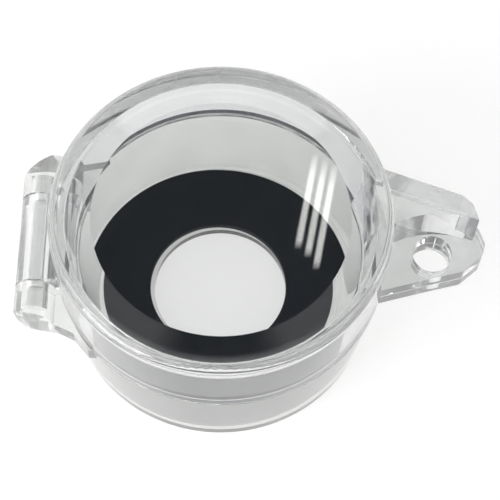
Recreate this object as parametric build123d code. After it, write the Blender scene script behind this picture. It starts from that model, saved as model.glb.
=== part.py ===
from build123d import *
import os

# Clear hinged lockout cover for a 22 mm panel push button.
# Millimetres, +Z up. The origin is on the axis of the button hole, at the underside of the
# base. The hinge is at -X and the padlock tabs are at +X.

# ---- driving dimensions ------------------------------------------------------------------
R_OUT = 26.5          # outside radius of the cover and of the base at the parting line
H_TOP = 31.0          # top of the cover above the panel
Z_PART = 18.0         # parting line between base and cover, also the hinge height
GAP = 0.1             # half of the parting gap

R_COVER_IN = 24.15    # inside radius of the cover wall
T_LID = 2.8           # thickness of the flat lid
F_LID_OUT = 1.4       # outer corner radius of the lid
R_UNDER = 20.0        # the underside of the lid is flat out to this radius
DROP_UNDER = 0.85     # beyond it the underside slopes down by this much to the wall
F_LID_IN = 0.3        # inner corner radius under the lid

R_BASE_BOT = 24.9     # outside radius of the base at the panel
R_BASE_IN_TOP = 23.9  # inside radius of the base at the parting line
R_BASE_IN_BOT = 23.0  # inside radius of the base at its floor
T_FLOOR = 1.3         # floor of the base
F_BASE_BOT = 0.8      # corner radius at the panel
R_HOLE = 11.1         # button hole (22 mm thread, 22.2 mm hole)

R_RING_OUT = 22.3     # rubber ring
R_RING_IN = 11.4
T_RING = 1.0
RING_SHIFT = (-0.35, 0.15)   # the loose ring lies a little off centre

X_HINGE = -29.0       # hinge axis, parallel to Y at the parting height
R_KNUCKLE = 3.2
R_PIN = 1.25
PIN_CLEAR = 0.05      # radial clearance of the pin in the cover knuckle
Y_KNUCKLE = 7.5       # half length of the middle knuckle
Y_EAR = 7.8           # inner face of the ears
KNUCKLE_RELIEF = 0.35 # radial room around the knuckles

T_TAB = 2.35          # thickness of each padlock tab
Z_BLOCK = 27.6        # top of the raised block on the cover tab
HOLE_X, HOLE_Y, R_SHACKLE = 33.4, -1.5, 3.1   # padlock hole through both tabs

os.makedirs("parts", exist_ok=True)


def revolved(points, radii):
    """Solid of revolution about Z from an (r, z) outline, with a corner radius per point."""
    with BuildPart() as bp:
        with BuildSketch(Plane.XZ) as sk:
            with BuildLine():
                Polyline(*points, close=True)
            make_face()
            for (pt, rad) in zip(points, radii):
                if rad:
                    v = sk.vertices().sort_by_distance(Vector(pt[0], pt[1], 0))[0]
                    fillet(v, radius=rad)
        revolve(axis=Axis.Z)
    return bp.part


def prism(points, z0, z1):
    """Upright prism over a plan outline given as (x, y) points."""
    return Pos(0, 0, z0) * extrude(make_face(Polyline(*points, close=True)), z1 - z0)


def barrel(radius, y0, y1):
    """Cylinder about the hinge axis from y0 to y1."""
    return (Pos(X_HINGE, (y0 + y1) / 2, Z_PART) * Rot(90, 0, 0)
            * Cylinder(radius, abs(y1 - y0)))


def block(x0, x1, y0, y1, z0, z1):
    return Pos((x0 + x1) / 2, (y0 + y1) / 2, (z0 + z1) / 2) * Box(x1 - x0, y1 - y0, z1 - z0)


# ---- cover -------------------------------------------------------------------------------
z_rim = Z_PART + GAP
z_under = H_TOP - T_LID
z_corner = z_under - DROP_UNDER
cup = revolved(
    [(R_OUT, z_rim), (R_OUT, H_TOP), (0, H_TOP), (0, z_under), (R_UNDER, z_under),
     (R_COVER_IN, z_corner), (R_COVER_IN, z_rim)],
    [0.25, F_LID_OUT, 0, 0, 0, F_LID_IN, 0.25])

# plan outline of the padlock tab: it tapers outward and ends in a rounded nose
TAB = [(22.0, -9.2), (25.4, -8.0), (33.4, -5.75), (38.2, -4.5), (41.3, -1.7), (41.9, 0.3),
       (41.0, 3.0), (39.4, 4.6), (37.6, 5.2), (25.4, 9.6), (22.0, 10.8)]
# plan of the raised block before its front is hollowed: its nose is set back from the tab's
BLOCK = [(22.0, -9.2), (40.1, -9.2), (39.9, 0.7), (39.1, 3.6), (37.6, 5.2), (25.4, 9.6),
         (22.0, 10.8)]


def tab_plate(outline, z0, z1):
    """Plate over a plan outline, with the upright edges of its nose rounded."""
    body = prism(outline, z0, z1)
    nose = [e for e in body.edges().filter_by(Axis.Z)
            if e.center().X > 37.0 and e.center().Y > -9.0]
    return fillet(nose, 1.2)


shelf = tab_plate(TAB, z_rim, z_rim + T_TAB)
# raised block on the rear half of the tab; its front face is hollow, to clear the shackle
block_plan = make_face([
    ThreePointArc((22.0, -3.9), (34.2, 1.95), (42.5, -0.4)),
    Line((42.5, -0.4), (44.0, 12.0)),
    Line((44.0, 12.0), (22.0, 12.0)),
    Line((22.0, 12.0), (22.0, -3.9)),
])
upstand = tab_plate(BLOCK, z_rim, Z_BLOCK) & (Pos(0, 0, z_rim) * extrude(block_plan, 20))
tongue = shelf + upstand

knuckle = barrel(R_KNUCKLE, -Y_KNUCKLE, Y_KNUCKLE)
knuckle_web = block(X_HINGE, -23.0, -Y_KNUCKLE, Y_KNUCKLE, z_rim, Z_PART + R_KNUCKLE)
inside = Pos(0, 0, z_rim - 5) * Cylinder(R_COVER_IN, z_corner - z_rim + 5 - F_LID_IN,
                                         align=(Align.CENTER, Align.CENTER, Align.MIN))
cover = cup + ((tongue + knuckle + knuckle_web) - inside)
cover -= barrel(R_PIN + PIN_CLEAR, -Y_KNUCKLE - 1, Y_KNUCKLE + 1)
cover -= Pos(HOLE_X, HOLE_Y, z_rim - 1) * Cylinder(
    R_SHACKLE, T_TAB + 12, align=(Align.CENTER, Align.CENTER, Align.MIN))

# ---- base --------------------------------------------------------------------------------
z_top = Z_PART - GAP
pan = revolved(
    [(R_HOLE, 0), (R_BASE_BOT, 0), (R_OUT, z_top), (R_BASE_IN_TOP, z_top),
     (R_BASE_IN_BOT, T_FLOOR), (R_HOLE, T_FLOOR)],
    [0, F_BASE_BOT, 0.25, 0.25, 0.25, 0])

low_tab = tab_plate(TAB, z_top - T_TAB, z_top)

# ears: barrel ends with a web down to the wall, cut to a sloping plan at each end
rear_plan = [(-33.0, Y_EAR), (-33.0, 11.8), (-32.0, 11.8), (-27.6, 14.8), (-21.0, 17.2),
             (-18.0, 17.2), (-18.0, Y_EAR)]
front_plan = [(-33.0, -Y_EAR), (-33.0, -11.0), (-31.6, -12.4), (-29.6, -13.3),
              (-25.4, -13.9), (-22.6, -15.2), (-20.2, -18.0), (-16.0, -18.0),
              (-16.0, -Y_EAR)]
ears = []
for plan, y0, y1 in ((rear_plan, Y_EAR, 18.0), (front_plan, -18.5, -Y_EAR)):
    ear = barrel(R_KNUCKLE, y0, y1) + block(X_HINGE, -16.0, y0, y1, Z_PART - R_KNUCKLE, z_top)
    ears.append(ear & prism(plan, 10, 25))

bowl = Pos(0, 0, T_FLOOR) * Cone(R_BASE_IN_BOT, R_BASE_IN_TOP, z_top - T_FLOOR + 0.0,
                                 align=(Align.CENTER, Align.CENTER, Align.MIN))
bowl += Pos(0, 0, z_top) * Cylinder(R_BASE_IN_TOP, 10,
                                    align=(Align.CENTER, Align.CENTER, Align.MIN))
cover_room = Pos(0, 0, z_top) * Cylinder(R_OUT + 0.3, 20,
                                         align=(Align.CENTER, Align.CENTER, Align.MIN))
extras = (low_tab + ears[0] + ears[1]) - bowl - cover_room
base = pan + extras
base -= barrel(R_KNUCKLE + KNUCKLE_RELIEF, -Y_EAR, Y_EAR)
base -= barrel(R_PIN, -16, 16) & block(-40, 0, -11.6, 11.6, 0, 30)
base -= Pos(HOLE_X, HOLE_Y, z_top - T_TAB - 1) * Cylinder(
    R_SHACKLE, T_TAB + 2, align=(Align.CENTER, Align.CENTER, Align.MIN))

# ---- hinge pin: a press fit in the ears, free in the middle knuckle ------------------------
hinge_pin = barrel(R_PIN, -11.6, 11.6)

# ---- rubber ring ---------------------------------------------------------------------------
rubber_ring = Pos(RING_SHIFT[0], RING_SHIFT[1], 0) * revolved(
    [(R_RING_IN, T_FLOOR), (R_RING_OUT, T_FLOOR), (R_RING_OUT, T_FLOOR + T_RING),
     (R_RING_IN, T_FLOOR + T_RING)], [0, 0, 0.2, 0.2])

for name, shape in (("cover", cover), ("base", base), ("hinge_pin", hinge_pin),
                    ("rubber_ring", rubber_ring)):
    solids = shape.solids()
    print(name, "solids", len(solids), "volume", round(shape.volume, 1),
          "valid", shape.is_valid)
    export_step(shape, f"parts/{name}.step")
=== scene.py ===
import math

import bmesh
import bpy
import numpy as np
from mathutils import Matrix, Vector


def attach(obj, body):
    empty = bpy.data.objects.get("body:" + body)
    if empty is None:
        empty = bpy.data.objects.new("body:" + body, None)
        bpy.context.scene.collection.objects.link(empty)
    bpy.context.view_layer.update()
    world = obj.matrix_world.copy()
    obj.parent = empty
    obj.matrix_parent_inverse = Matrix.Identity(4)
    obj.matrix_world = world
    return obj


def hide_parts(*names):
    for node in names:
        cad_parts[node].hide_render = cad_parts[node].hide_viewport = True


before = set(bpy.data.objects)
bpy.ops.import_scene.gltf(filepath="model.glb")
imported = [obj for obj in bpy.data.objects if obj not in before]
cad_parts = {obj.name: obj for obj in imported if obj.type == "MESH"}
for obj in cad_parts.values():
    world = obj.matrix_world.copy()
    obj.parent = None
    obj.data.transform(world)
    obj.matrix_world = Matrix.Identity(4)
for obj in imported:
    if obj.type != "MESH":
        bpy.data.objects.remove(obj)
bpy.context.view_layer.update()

scene = bpy.context.scene
MM = 0.001


# ---------------------------------------------------------------- camera
def make_camera():
    """Looks down at about 64 degrees from 0.24 m away."""
    e = math.radians(64.22)
    roll = 0.01897
    back = Vector((0, -math.cos(e), math.sin(e)))
    right = Vector((1, 0, 0))
    up = right.cross(-back)
    eye = Vector((0.87, 0, 15)) + back * 241.4
    # +X runs slightly downhill in the picture
    r2 = right * math.cos(roll) + up * math.sin(roll)
    u2 = up * math.cos(roll) - right * math.sin(roll)
    m = Matrix((
        (r2.x, u2.x, back.x, eye.x * MM),
        (r2.y, u2.y, back.y, eye.y * MM),
        (r2.z, u2.z, back.z, eye.z * MM),
        (0, 0, 0, 1)))
    data = bpy.data.cameras.new("camera")
    data.sensor_width = 36.0
    data.lens = 36.0 * 1494.9 / 500.0
    # the optical axis meets the picture at (226.0, 256.3) of 500 x 500
    data.shift_x = (250.0 - 226.0) / 500.0
    data.shift_y = (256.3 - 250.0) / 500.0
    data.clip_start = 0.005
    data.clip_end = 20.0
    cam = bpy.data.objects.new("camera", data)
    cam.matrix_world = m
    scene.collection.objects.link(cam)
    scene.camera = cam
    return cam


make_camera()


# ---------------------------------------------------------------- surfaces
# Each returns, for points in mm, the distance from the surface and its normal. Clear plastic
# bends light by its normals, so the polished copies take theirs from the true surfaces and not
# from the facets.
def unit(v):
    return v / np.maximum(np.linalg.norm(v, axis=-1, keepdims=True), 1e-12)


def cyl_z(cx, cy, radius):
    def f(p):
        d = p - np.array([cx, cy, 0.0])
        d[..., 2] = 0
        return np.linalg.norm(d, axis=-1) - radius, unit(d)
    return f


def cyl_y(cx, cz, radius):
    def f(p):
        d = p - np.array([cx, 0.0, cz])
        d[..., 1] = 0
        return np.linalg.norm(d, axis=-1) - radius, unit(d)
    return f


def cone_z(r0, z0, r1, z1):
    """Through (r0, z0) and (r1, z1) of the outline; works for flat cones too."""
    t = np.array([r1 - r0, z1 - z0]) / math.hypot(r1 - r0, z1 - z0)
    nr, nz = t[1], -t[0]

    def f(p):
        r = np.hypot(p[..., 0], p[..., 1])
        rad = unit(p * np.array([1.0, 1.0, 0.0]))
        n = rad * nr + np.array([0.0, 0.0, nz])
        return (r - r0) * nr + (p[..., 2] - z0) * nz, n
    return f


def torus_z(rc, zc, radius, cx=0.0, cy=0.0):
    def f(p):
        q = p - np.array([cx, cy, 0.0])
        r = np.hypot(q[..., 0], q[..., 1])
        rad = unit(q * np.array([1.0, 1.0, 0.0]))
        dr, dz = r - rc, q[..., 2] - zc
        n = rad * dr[..., None] + np.array([0.0, 0.0, 1.0]) * dz[..., None]
        return np.hypot(dr, dz) - radius, unit(n)
    return f


def circle3(a, b, c):
    """Centre and radius of the circle through three points of a plan."""
    (ax, ay), (bx, by), (cx, cy) = a, b, c
    d = 2 * (ax * (by - cy) + bx * (cy - ay) + cx * (ay - by))
    ux = ((ax * ax + ay * ay) * (by - cy) + (bx * bx + by * by) * (cy - ay)
          + (cx * cx + cy * cy) * (ay - by)) / d
    uy = ((ax * ax + ay * ay) * (cx - bx) + (bx * bx + by * by) * (ax - cx)
          + (cx * cx + cy * cy) * (bx - ax)) / d
    return ux, uy, math.hypot(ax - ux, ay - uy)


TAB = [(22.0, -9.2), (25.4, -8.0), (33.4, -5.75), (38.2, -4.5), (41.3, -1.7), (41.9, 0.3),
       (41.0, 3.0), (39.4, 4.6), (37.6, 5.2), (25.4, 9.6), (22.0, 10.8)]
BLOCK = [(22.0, -9.2), (40.1, -9.2), (39.9, 0.7), (39.1, 3.6), (37.6, 5.2), (25.4, 9.6),
         (22.0, 10.8)]


def nose_fillets(outline, radius=1.2):
    """The rounded upright edges at the nose of a plan outline."""
    out = []
    for i, p in enumerate(outline):
        if p[0] <= 37.0 or p[1] < -9.0:
            continue
        p = np.array(p)
        a = unit(np.array(outline[i - 1]) - p)
        b = unit(np.array(outline[(i + 1) % len(outline)]) - p)
        half = 0.5 * math.acos(float(np.clip(a @ b, -1, 1)))
        c = p + unit(a + b) * radius / math.sin(half)
        out.append((cyl_z(c[0], c[1], radius), 14))
    return out


k_out, k_in = 1.6 / 17.9, 0.9 / 16.6          # lean of the base's outer and inner walls
s_out, s_in = math.sqrt(1 + k_out ** 2), math.sqrt(1 + k_in ** 2)
k_un = 0.85 / 4.15                            # slope under the lid
s_un = math.sqrt(1 + k_un ** 2)

hx, hz = -29.0, 18.0
SHACKLE = (cyl_z(33.4, -1.5, 3.1), 14)
arc_x, arc_y, arc_r = circle3((22.0, -3.9), (34.2, 1.95), (42.5, -0.4))

SURFACES = {
    "cover": [
        (cyl_z(0, 0, 26.5), 8), (cyl_z(0, 0, 24.15), 8),
        (torus_z(26.5 - 1.4, 31.0 - 1.4, 1.4), 20),
        (cone_z(20.0, 28.2, 24.15, 27.35), 8),
        (torus_z(23.85, 28.2 - k_un * 3.85 - 0.3 * s_un, 0.3), 35),
        (torus_z(26.25, 18.35, 0.25), 35), (torus_z(24.40, 18.35, 0.25), 35),
        (cyl_y(hx, hz, 3.2), 14), (cyl_y(hx, hz, 1.3), 20),
        SHACKLE, (cyl_z(arc_x, arc_y, arc_r), 8)] + nose_fillets(TAB) + nose_fillets(BLOCK),
    "base": [
        (cone_z(24.9, 0, 26.5, 17.9), 8), (cone_z(23.0, 1.3, 23.9, 17.9), 8),
        (torus_z(24.9 + k_out * 0.8 - 0.8 * s_out, 0.8, 0.8), 25),
        (torus_z(24.9 + k_out * 17.65 - 0.25 * s_out, 17.65, 0.25), 35),
        (torus_z(23.0 + k_in * 16.35 + 0.25 * s_in, 17.65, 0.25), 35),
        (torus_z(23.0 + k_in * 0.25 - 0.25 * s_in, 1.55, 0.25), 35),
        (cyl_z(0, 0, 11.1), 8), (cyl_z(0, 0, 26.8), 8),
        (cyl_y(hx, hz, 3.2), 14), (cyl_y(hx, hz, 3.55), 14), (cyl_y(hx, hz, 1.25), 20),
        SHACKLE] + nose_fillets(TAB),
    "hinge_pin": [(cyl_y(hx, hz, 1.25), 20)],
    "rubber_ring": [
        (cyl_z(-0.35, 0.15, 11.4), 8), (cyl_z(-0.35, 0.15, 22.3), 8),
        (torus_z(22.1, 2.1, 0.2, -0.35, 0.15), 35), (torus_z(11.6, 2.1, 0.2, -0.35, 0.15), 35)],
}


def polished(node, name, body, shape=None):
    """A welded copy of a CAD node whose corner normals are those of its true surfaces."""
    bm = bmesh.new()
    bm.from_mesh(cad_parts[node].data)
    bmesh.ops.remove_doubles(bm, verts=bm.verts, dist=2e-7)
    bmesh.ops.triangulate(bm, faces=bm.faces)
    for f in bm.faces:
        f.smooth = True
    me = bpy.data.meshes.new(name)
    bm.to_mesh(me)
    bm.free()

    count = len(me.polygons)
    co = np.empty(len(me.vertices) * 3)
    me.vertices.foreach_get("co", co)
    co = co.reshape(-1, 3) * 1000.0
    idx = np.empty(count * 3, dtype=np.int32)
    me.polygons.foreach_get("vertices", idx)
    tri = co[idx.reshape(-1, 3)]
    flat = unit(np.cross(tri[:, 1] - tri[:, 0], tri[:, 2] - tri[:, 0]))
    centre = tri.mean(axis=1)
    best = np.full(count, 1e9)
    normals = np.repeat(flat[:, None, :], 3, axis=1)
    level = np.abs(flat[:, 2]) > 0.999999
    for surface, tol in SURFACES[node]:
        dist, n3 = surface(tri.copy())
        off = np.abs(dist).max(axis=1)
        _, nc = surface(centre.copy())
        dot = (nc * flat).sum(axis=1)
        sign = np.where(dot < 0, -1.0, 1.0)
        good = ((off < 0.004) & (np.abs(dot) > math.cos(math.radians(tol)))
                & ~level & (off < best))
        normals[good] = (n3 * sign[:, None, None])[good]
        best[good] = off[good]
    me.normals_split_custom_set(normals.reshape(-1, 3).tolist())
    if shape is not None:
        shape(me)

    obj = bpy.data.objects.new(name, me)
    scene.collection.objects.link(obj)
    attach(obj, body)
    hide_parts(node)
    print("polished", node, "triangles", count, "on true surfaces", int((best < 1e8).sum()),
          "level", int(level.sum()))
    return obj


# ---------------------------------------------------------------- materials
def new_material(name):
    mat = bpy.data.materials.new(name)
    mat.use_nodes = True
    nt = mat.node_tree
    for n in list(nt.nodes):
        nt.nodes.remove(n)
    out = nt.nodes.new("ShaderNodeOutputMaterial")
    bsdf = nt.nodes.new("ShaderNodeBsdfPrincipled")
    nt.links.new(bsdf.outputs["BSDF"], out.inputs["Surface"])
    return mat, nt, bsdf, out


def clear_plastic(name, tint, milk=0.1, window=False, haze=0.02):
    """Moulded clear polycarbonate. The polished lid window is clear; the walls, which rub and
    carry flow marks, are slightly milky, unevenly so."""
    mat, nt, bsdf, out = new_material(name)
    bsdf.inputs["Base Color"].default_value = (*tint, 1)
    bsdf.inputs["IOR"].default_value = 1.585
    co = nt.nodes.new("ShaderNodeTexCoord")
    cloud = nt.nodes.new("ShaderNodeTexNoise")
    cloud.inputs["Scale"].default_value = 110.0
    cloud.inputs["Detail"].default_value = 2.0
    nt.links.new(co.outputs["Object"], cloud.inputs["Vector"])
    uneven = nt.nodes.new("ShaderNodeMapRange")
    uneven.inputs["From Min"].default_value = 0.3
    uneven.inputs["From Max"].default_value = 0.7
    uneven.inputs["To Min"].default_value = 1.0 - 0.75 * milk
    uneven.inputs["To Max"].default_value = 1.0 - 1.25 * milk
    nt.links.new(cloud.outputs["Fac"], uneven.inputs["Value"])
    amount = uneven.outputs["Result"]
    if window:
        # clear inside a radius of about 24 mm, above about 27 mm: the two faces of the lid
        xyz = nt.nodes.new("ShaderNodeSeparateXYZ")
        nt.links.new(co.outputs["Object"], xyz.inputs[0])
        flat_co = nt.nodes.new("ShaderNodeVectorMath")
        flat_co.operation = "MULTIPLY"
        flat_co.inputs[1].default_value = (1, 1, 0)
        nt.links.new(co.outputs["Object"], flat_co.inputs[0])
        rad = nt.nodes.new("ShaderNodeVectorMath")
        rad.operation = "LENGTH"
        nt.links.new(flat_co.outputs["Vector"], rad.inputs[0])
        within = nt.nodes.new("ShaderNodeMapRange")
        within.inputs["From Min"].default_value = 0.0246
        within.inputs["From Max"].default_value = 0.0236
        nt.links.new(rad.outputs["Value"], within.inputs["Value"])
        above = nt.nodes.new("ShaderNodeMapRange")
        above.inputs["From Min"].default_value = 0.0266
        above.inputs["From Max"].default_value = 0.0272
        nt.links.new(xyz.outputs["Z"], above.inputs["Value"])
        both = nt.nodes.new("ShaderNodeMath")
        both.operation = "MULTIPLY"
        nt.links.new(within.outputs["Result"], both.inputs[0])
        nt.links.new(above.outputs["Result"], both.inputs[1])
        mix = nt.nodes.new("ShaderNodeMix")
        nt.links.new(both.outputs[0], mix.inputs["Factor"])
        nt.links.new(amount, mix.inputs["A"])
        mix.inputs["B"].default_value = 1.0
        amount = mix.outputs["Result"]
    nt.links.new(amount, bsdf.inputs["Transmission Weight"])
    noise = nt.nodes.new("ShaderNodeTexNoise")
    noise.inputs["Scale"].default_value = 60.0
    noise.inputs["Detail"].default_value = 3.0
    nt.links.new(co.outputs["Object"], noise.inputs["Vector"])
    ramp = nt.nodes.new("ShaderNodeMapRange")
    ramp.inputs["From Min"].default_value = 0.35
    ramp.inputs["From Max"].default_value = 0.75
    ramp.inputs["To Min"].default_value = 0.0
    ramp.inputs["To Max"].default_value = haze
    nt.links.new(noise.outputs["Fac"], ramp.inputs["Value"])
    nt.links.new(ramp.outputs["Result"], bsdf.inputs["Roughness"])
    return mat


def black_rubber(name):
    mat, nt, bsdf, out = new_material(name)
    co = nt.nodes.new("ShaderNodeTexCoord")
    noise = nt.nodes.new("ShaderNodeTexNoise")
    noise.inputs["Scale"].default_value = 140.0
    noise.inputs["Detail"].default_value = 4.0
    nt.links.new(co.outputs["Object"], noise.inputs["Vector"])
    ramp = nt.nodes.new("ShaderNodeValToRGB")
    ramp.color_ramp.elements[0].color = (0.010, 0.012, 0.015, 1)
    ramp.color_ramp.elements[1].color = (0.018, 0.022, 0.028, 1)
    nt.links.new(noise.outputs["Fac"], ramp.inputs["Fac"])
    nt.links.new(ramp.outputs["Color"], bsdf.inputs["Base Color"])
    bsdf.inputs["Roughness"].default_value = 0.55
    bsdf.inputs["Specular IOR Level"].default_value = 0.3
    fine = nt.nodes.new("ShaderNodeTexNoise")
    fine.inputs["Scale"].default_value = 2500.0
    fine.inputs["Detail"].default_value = 2.0
    nt.links.new(co.outputs["Object"], fine.inputs["Vector"])
    bump = nt.nodes.new("ShaderNodeBump")
    bump.inputs["Strength"].default_value = 0.08
    bump.inputs["Distance"].default_value = 0.0001
    nt.links.new(fine.outputs["Fac"], bump.inputs["Height"])
    nt.links.new(bump.outputs["Normal"], bsdf.inputs["Normal"])
    return mat


CLEAR_COVER = clear_plastic("clear_cover", (0.962, 0.966, 0.968), 0.08, window=True)
CLEAR_BASE = clear_plastic("clear_base", (0.955, 0.966, 0.950), 0.115)
CLEAR_PIN = clear_plastic("clear_pin", (0.955, 0.962, 0.960), 0.08, haze=0.05)
RUBBER = black_rubber("rubber")

for node, mat in (("cover", CLEAR_COVER), ("base", CLEAR_BASE), ("hinge_pin", CLEAR_PIN),
                  ("rubber_ring", RUBBER)):
    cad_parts[node].data.materials.clear()
    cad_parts[node].data.materials.append(mat)

def slimmer(me):
    """The pin sits in its holes with 0.02 mm round it and at its ends, so that two clear faces
    never share one surface, which a ray tracer shows as dark patches."""
    for v in me.vertices:
        x, z = v.co.x + 0.029, v.co.z - 0.018
        k = 1 - 0.02 / 1.25
        v.co = (-0.029 + x * k, v.co.y * (1 - 0.02 / 11.6), 0.018 + z * k)


for node, name, body, slot_name, mat, shape in (
        ("cover", "cover_moulding", "cover", "clear_plastic", CLEAR_COVER, None),
        ("base", "base_moulding", "base", "clear_plastic", CLEAR_BASE, None),
        ("hinge_pin", "pin_rod", "base", "pin_plastic", CLEAR_PIN, slimmer),
        ("rubber_ring", "sealing_ring", "base", "black_rubber", RUBBER, None)):
    piece = polished(node, name, body, shape)
    piece.data.materials.append(mat)


# ---------------------------------------------------------------- stage
bpy.ops.mesh.primitive_plane_add(size=6, location=(0, 0, -0.0002))
floor = bpy.context.object
floor.name = "floor"
floor_mat, _, floor_bsdf, _ = new_material("floor")
# a light table: clear parts show the table through them, so it glows evenly under the part too
floor_bsdf.inputs["Base Color"].default_value = (0.40, 0.40, 0.40, 1)
floor_bsdf.inputs["Roughness"].default_value = 0.7
floor_bsdf.inputs["Specular IOR Level"].default_value = 0.1
floor_bsdf.inputs["Emission Color"].default_value = (1.0, 1.0, 0.99, 1)
floor_bsdf.inputs["Emission Strength"].default_value = 0.68
floor.data.materials.append(floor_mat)


# ---------------------------------------------------------------- studio
# A bright tent with dark and bright areas, placed by direction from the object.
world = bpy.data.worlds.new("studio")
scene.world = world
world.use_nodes = True
wt = world.node_tree
bg = wt.nodes["Background"]
tc = wt.nodes.new("ShaderNodeTexCoord")


def math_node(op, a, b=None, clamp=False):
    n = wt.nodes.new("ShaderNodeMath")
    n.operation = op
    n.use_clamp = clamp
    for i, v in enumerate((a, b)):
        if v is None:
            continue
        if isinstance(v, (int, float)):
            n.inputs[i].default_value = v
        else:
            wt.links.new(v, n.inputs[i])
    return n.outputs[0]


def ramp_node(value, lo, hi):
    n = wt.nodes.new("ShaderNodeMapRange")
    n.inputs["From Min"].default_value = lo
    n.inputs["From Max"].default_value = hi
    wt.links.new(value, n.inputs["Value"])
    return n.outputs["Result"]


def blend_to(prev, mask, colour):
    n = wt.nodes.new("ShaderNodeMix")
    n.data_type = "RGBA"
    wt.links.new(mask, n.inputs["Factor"])
    if isinstance(prev, tuple):
        n.inputs["A"].default_value = (*prev, 1)
    else:
        wt.links.new(prev, n.inputs["A"])
    n.inputs["B"].default_value = (*colour, 1)
    return n.outputs["Result"]


def patch(prev, azimuth, elevation, half_angle, soft, colour):
    """A round area; azimuth 0 is +Y and 90 is +X, all in degrees."""
    a, e = math.radians(azimuth), math.radians(elevation)
    dot = wt.nodes.new("ShaderNodeVectorMath")
    dot.operation = "DOT_PRODUCT"
    wt.links.new(tc.outputs["Generated"], dot.inputs[0])
    dot.inputs[1].default_value = (math.sin(a) * math.cos(e), math.cos(a) * math.cos(e),
                                   math.sin(e))
    lo = math.cos(math.radians(half_angle + soft))
    hi = math.cos(math.radians(max(half_angle - soft, 0)))
    return blend_to(prev, ramp_node(dot.outputs["Value"], lo, hi), colour)


sep = wt.nodes.new("ShaderNodeSeparateXYZ")
wt.links.new(tc.outputs["Generated"], sep.inputs[0])
up_z = math_node("MAXIMUM", sep.outputs["Z"], 0.05)
s_dir = math_node("DIVIDE", sep.outputs["X"], up_z)
t_dir = math_node("DIVIDE", sep.outputs["Y"], up_z)


def strip(prev, s0, t0, t1, width, colour):
    """A long thin lamp on the ceiling, slightly turned."""
    along = math_node("MULTIPLY", math_node("SUBTRACT", t_dir, 0.52), 0.175)
    off = math_node("ABSOLUTE", math_node("SUBTRACT", math_node("SUBTRACT", s_dir, along), s0))
    across = ramp_node(off, width * 0.75, width * 0.35)
    start = ramp_node(t_dir, t0 - 0.004, t0 + 0.004)
    end = ramp_node(t_dir, t1 + 0.012, t1 - 0.012)
    mask = math_node("MULTIPLY", across, math_node("MULTIPLY", start, end))
    return blend_to(prev, mask, colour)


sky = (0.97, 0.97, 0.98)
sky = patch(sky, 0, 12, 16, 5, (0.42, 0.43, 0.44))         # low grey flags: dark edges
sky = patch(sky, 270, 12, 14, 5, (0.45, 0.46, 0.47))
sky = patch(sky, 90, 12, 14, 5, (0.45, 0.46, 0.47))
sky = patch(sky, 0, 68, 27, 4, (0.035, 0.04, 0.05))        # dark ceiling over the lid
sky = patch(sky, 180, 80, 15, 4, (0.035, 0.04, 0.05))
sky = strip(sky, 0.0585, 0.494, 0.562, 0.0042, (5.5, 5.5, 5.3))
sky = strip(sky, 0.0668, 0.487, 0.557, 0.0042, (5.5, 5.5, 5.3))
sky = strip(sky, 0.0747, 0.477, 0.553, 0.0042, (5.5, 5.5, 5.3))
wt.links.new(sky, bg.inputs["Color"])
bg.inputs["Strength"].default_value = 1.0

# soft box at the front left, which lights the milky walls on that side
key = bpy.data.lights.new("soft_box", "AREA")
key.shape = "RECTANGLE"
key.size, key.size_y = 0.42, 0.42
key.energy = 3.2
key_obj = bpy.data.objects.new("soft_box", key)
key_obj.location = (-0.50, -0.36, 0.30)
key_obj.rotation_euler = Vector((0.50, 0.36, -0.28)).to_track_quat("-Z", "Y").to_euler()
scene.collection.objects.link(key_obj)

# clear parts need many bounces inside their walls
scene.cycles.max_bounces = 20
scene.cycles.glossy_bounces = 14
scene.cycles.transmission_bounces = 18

scene.view_settings.view_transform = "Standard"
scene.view_settings.look = "None"
